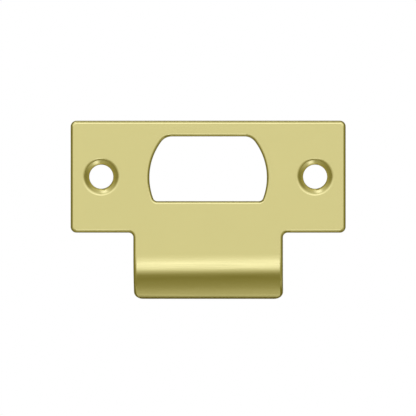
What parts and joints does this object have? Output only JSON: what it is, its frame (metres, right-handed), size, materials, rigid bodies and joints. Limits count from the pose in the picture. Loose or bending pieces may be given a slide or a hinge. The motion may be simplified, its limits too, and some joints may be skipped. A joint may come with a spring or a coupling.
{
  "type": "door strike plate",
  "caption": "T-shaped brass strike plate for a door frame, with a latch opening, countersunk screw holes and a curved lip that guides the latch in.",
  "frame": {"origin": "midway between the screw holes, on the back face that seats against the door frame", "axes": "+X along the plate, +Z from the lip towards the plain edge, -Y out of the polished face, so the lip curves back towards +Y"},
  "size_m": [0.0698, 0.0067, 0.0453],
  "materials": {
    "brass": "satin-polished, lacquered"
  },
  "bodies": {
    "root": {"strike_plate": "brass"}
  },
  "joints": []
}
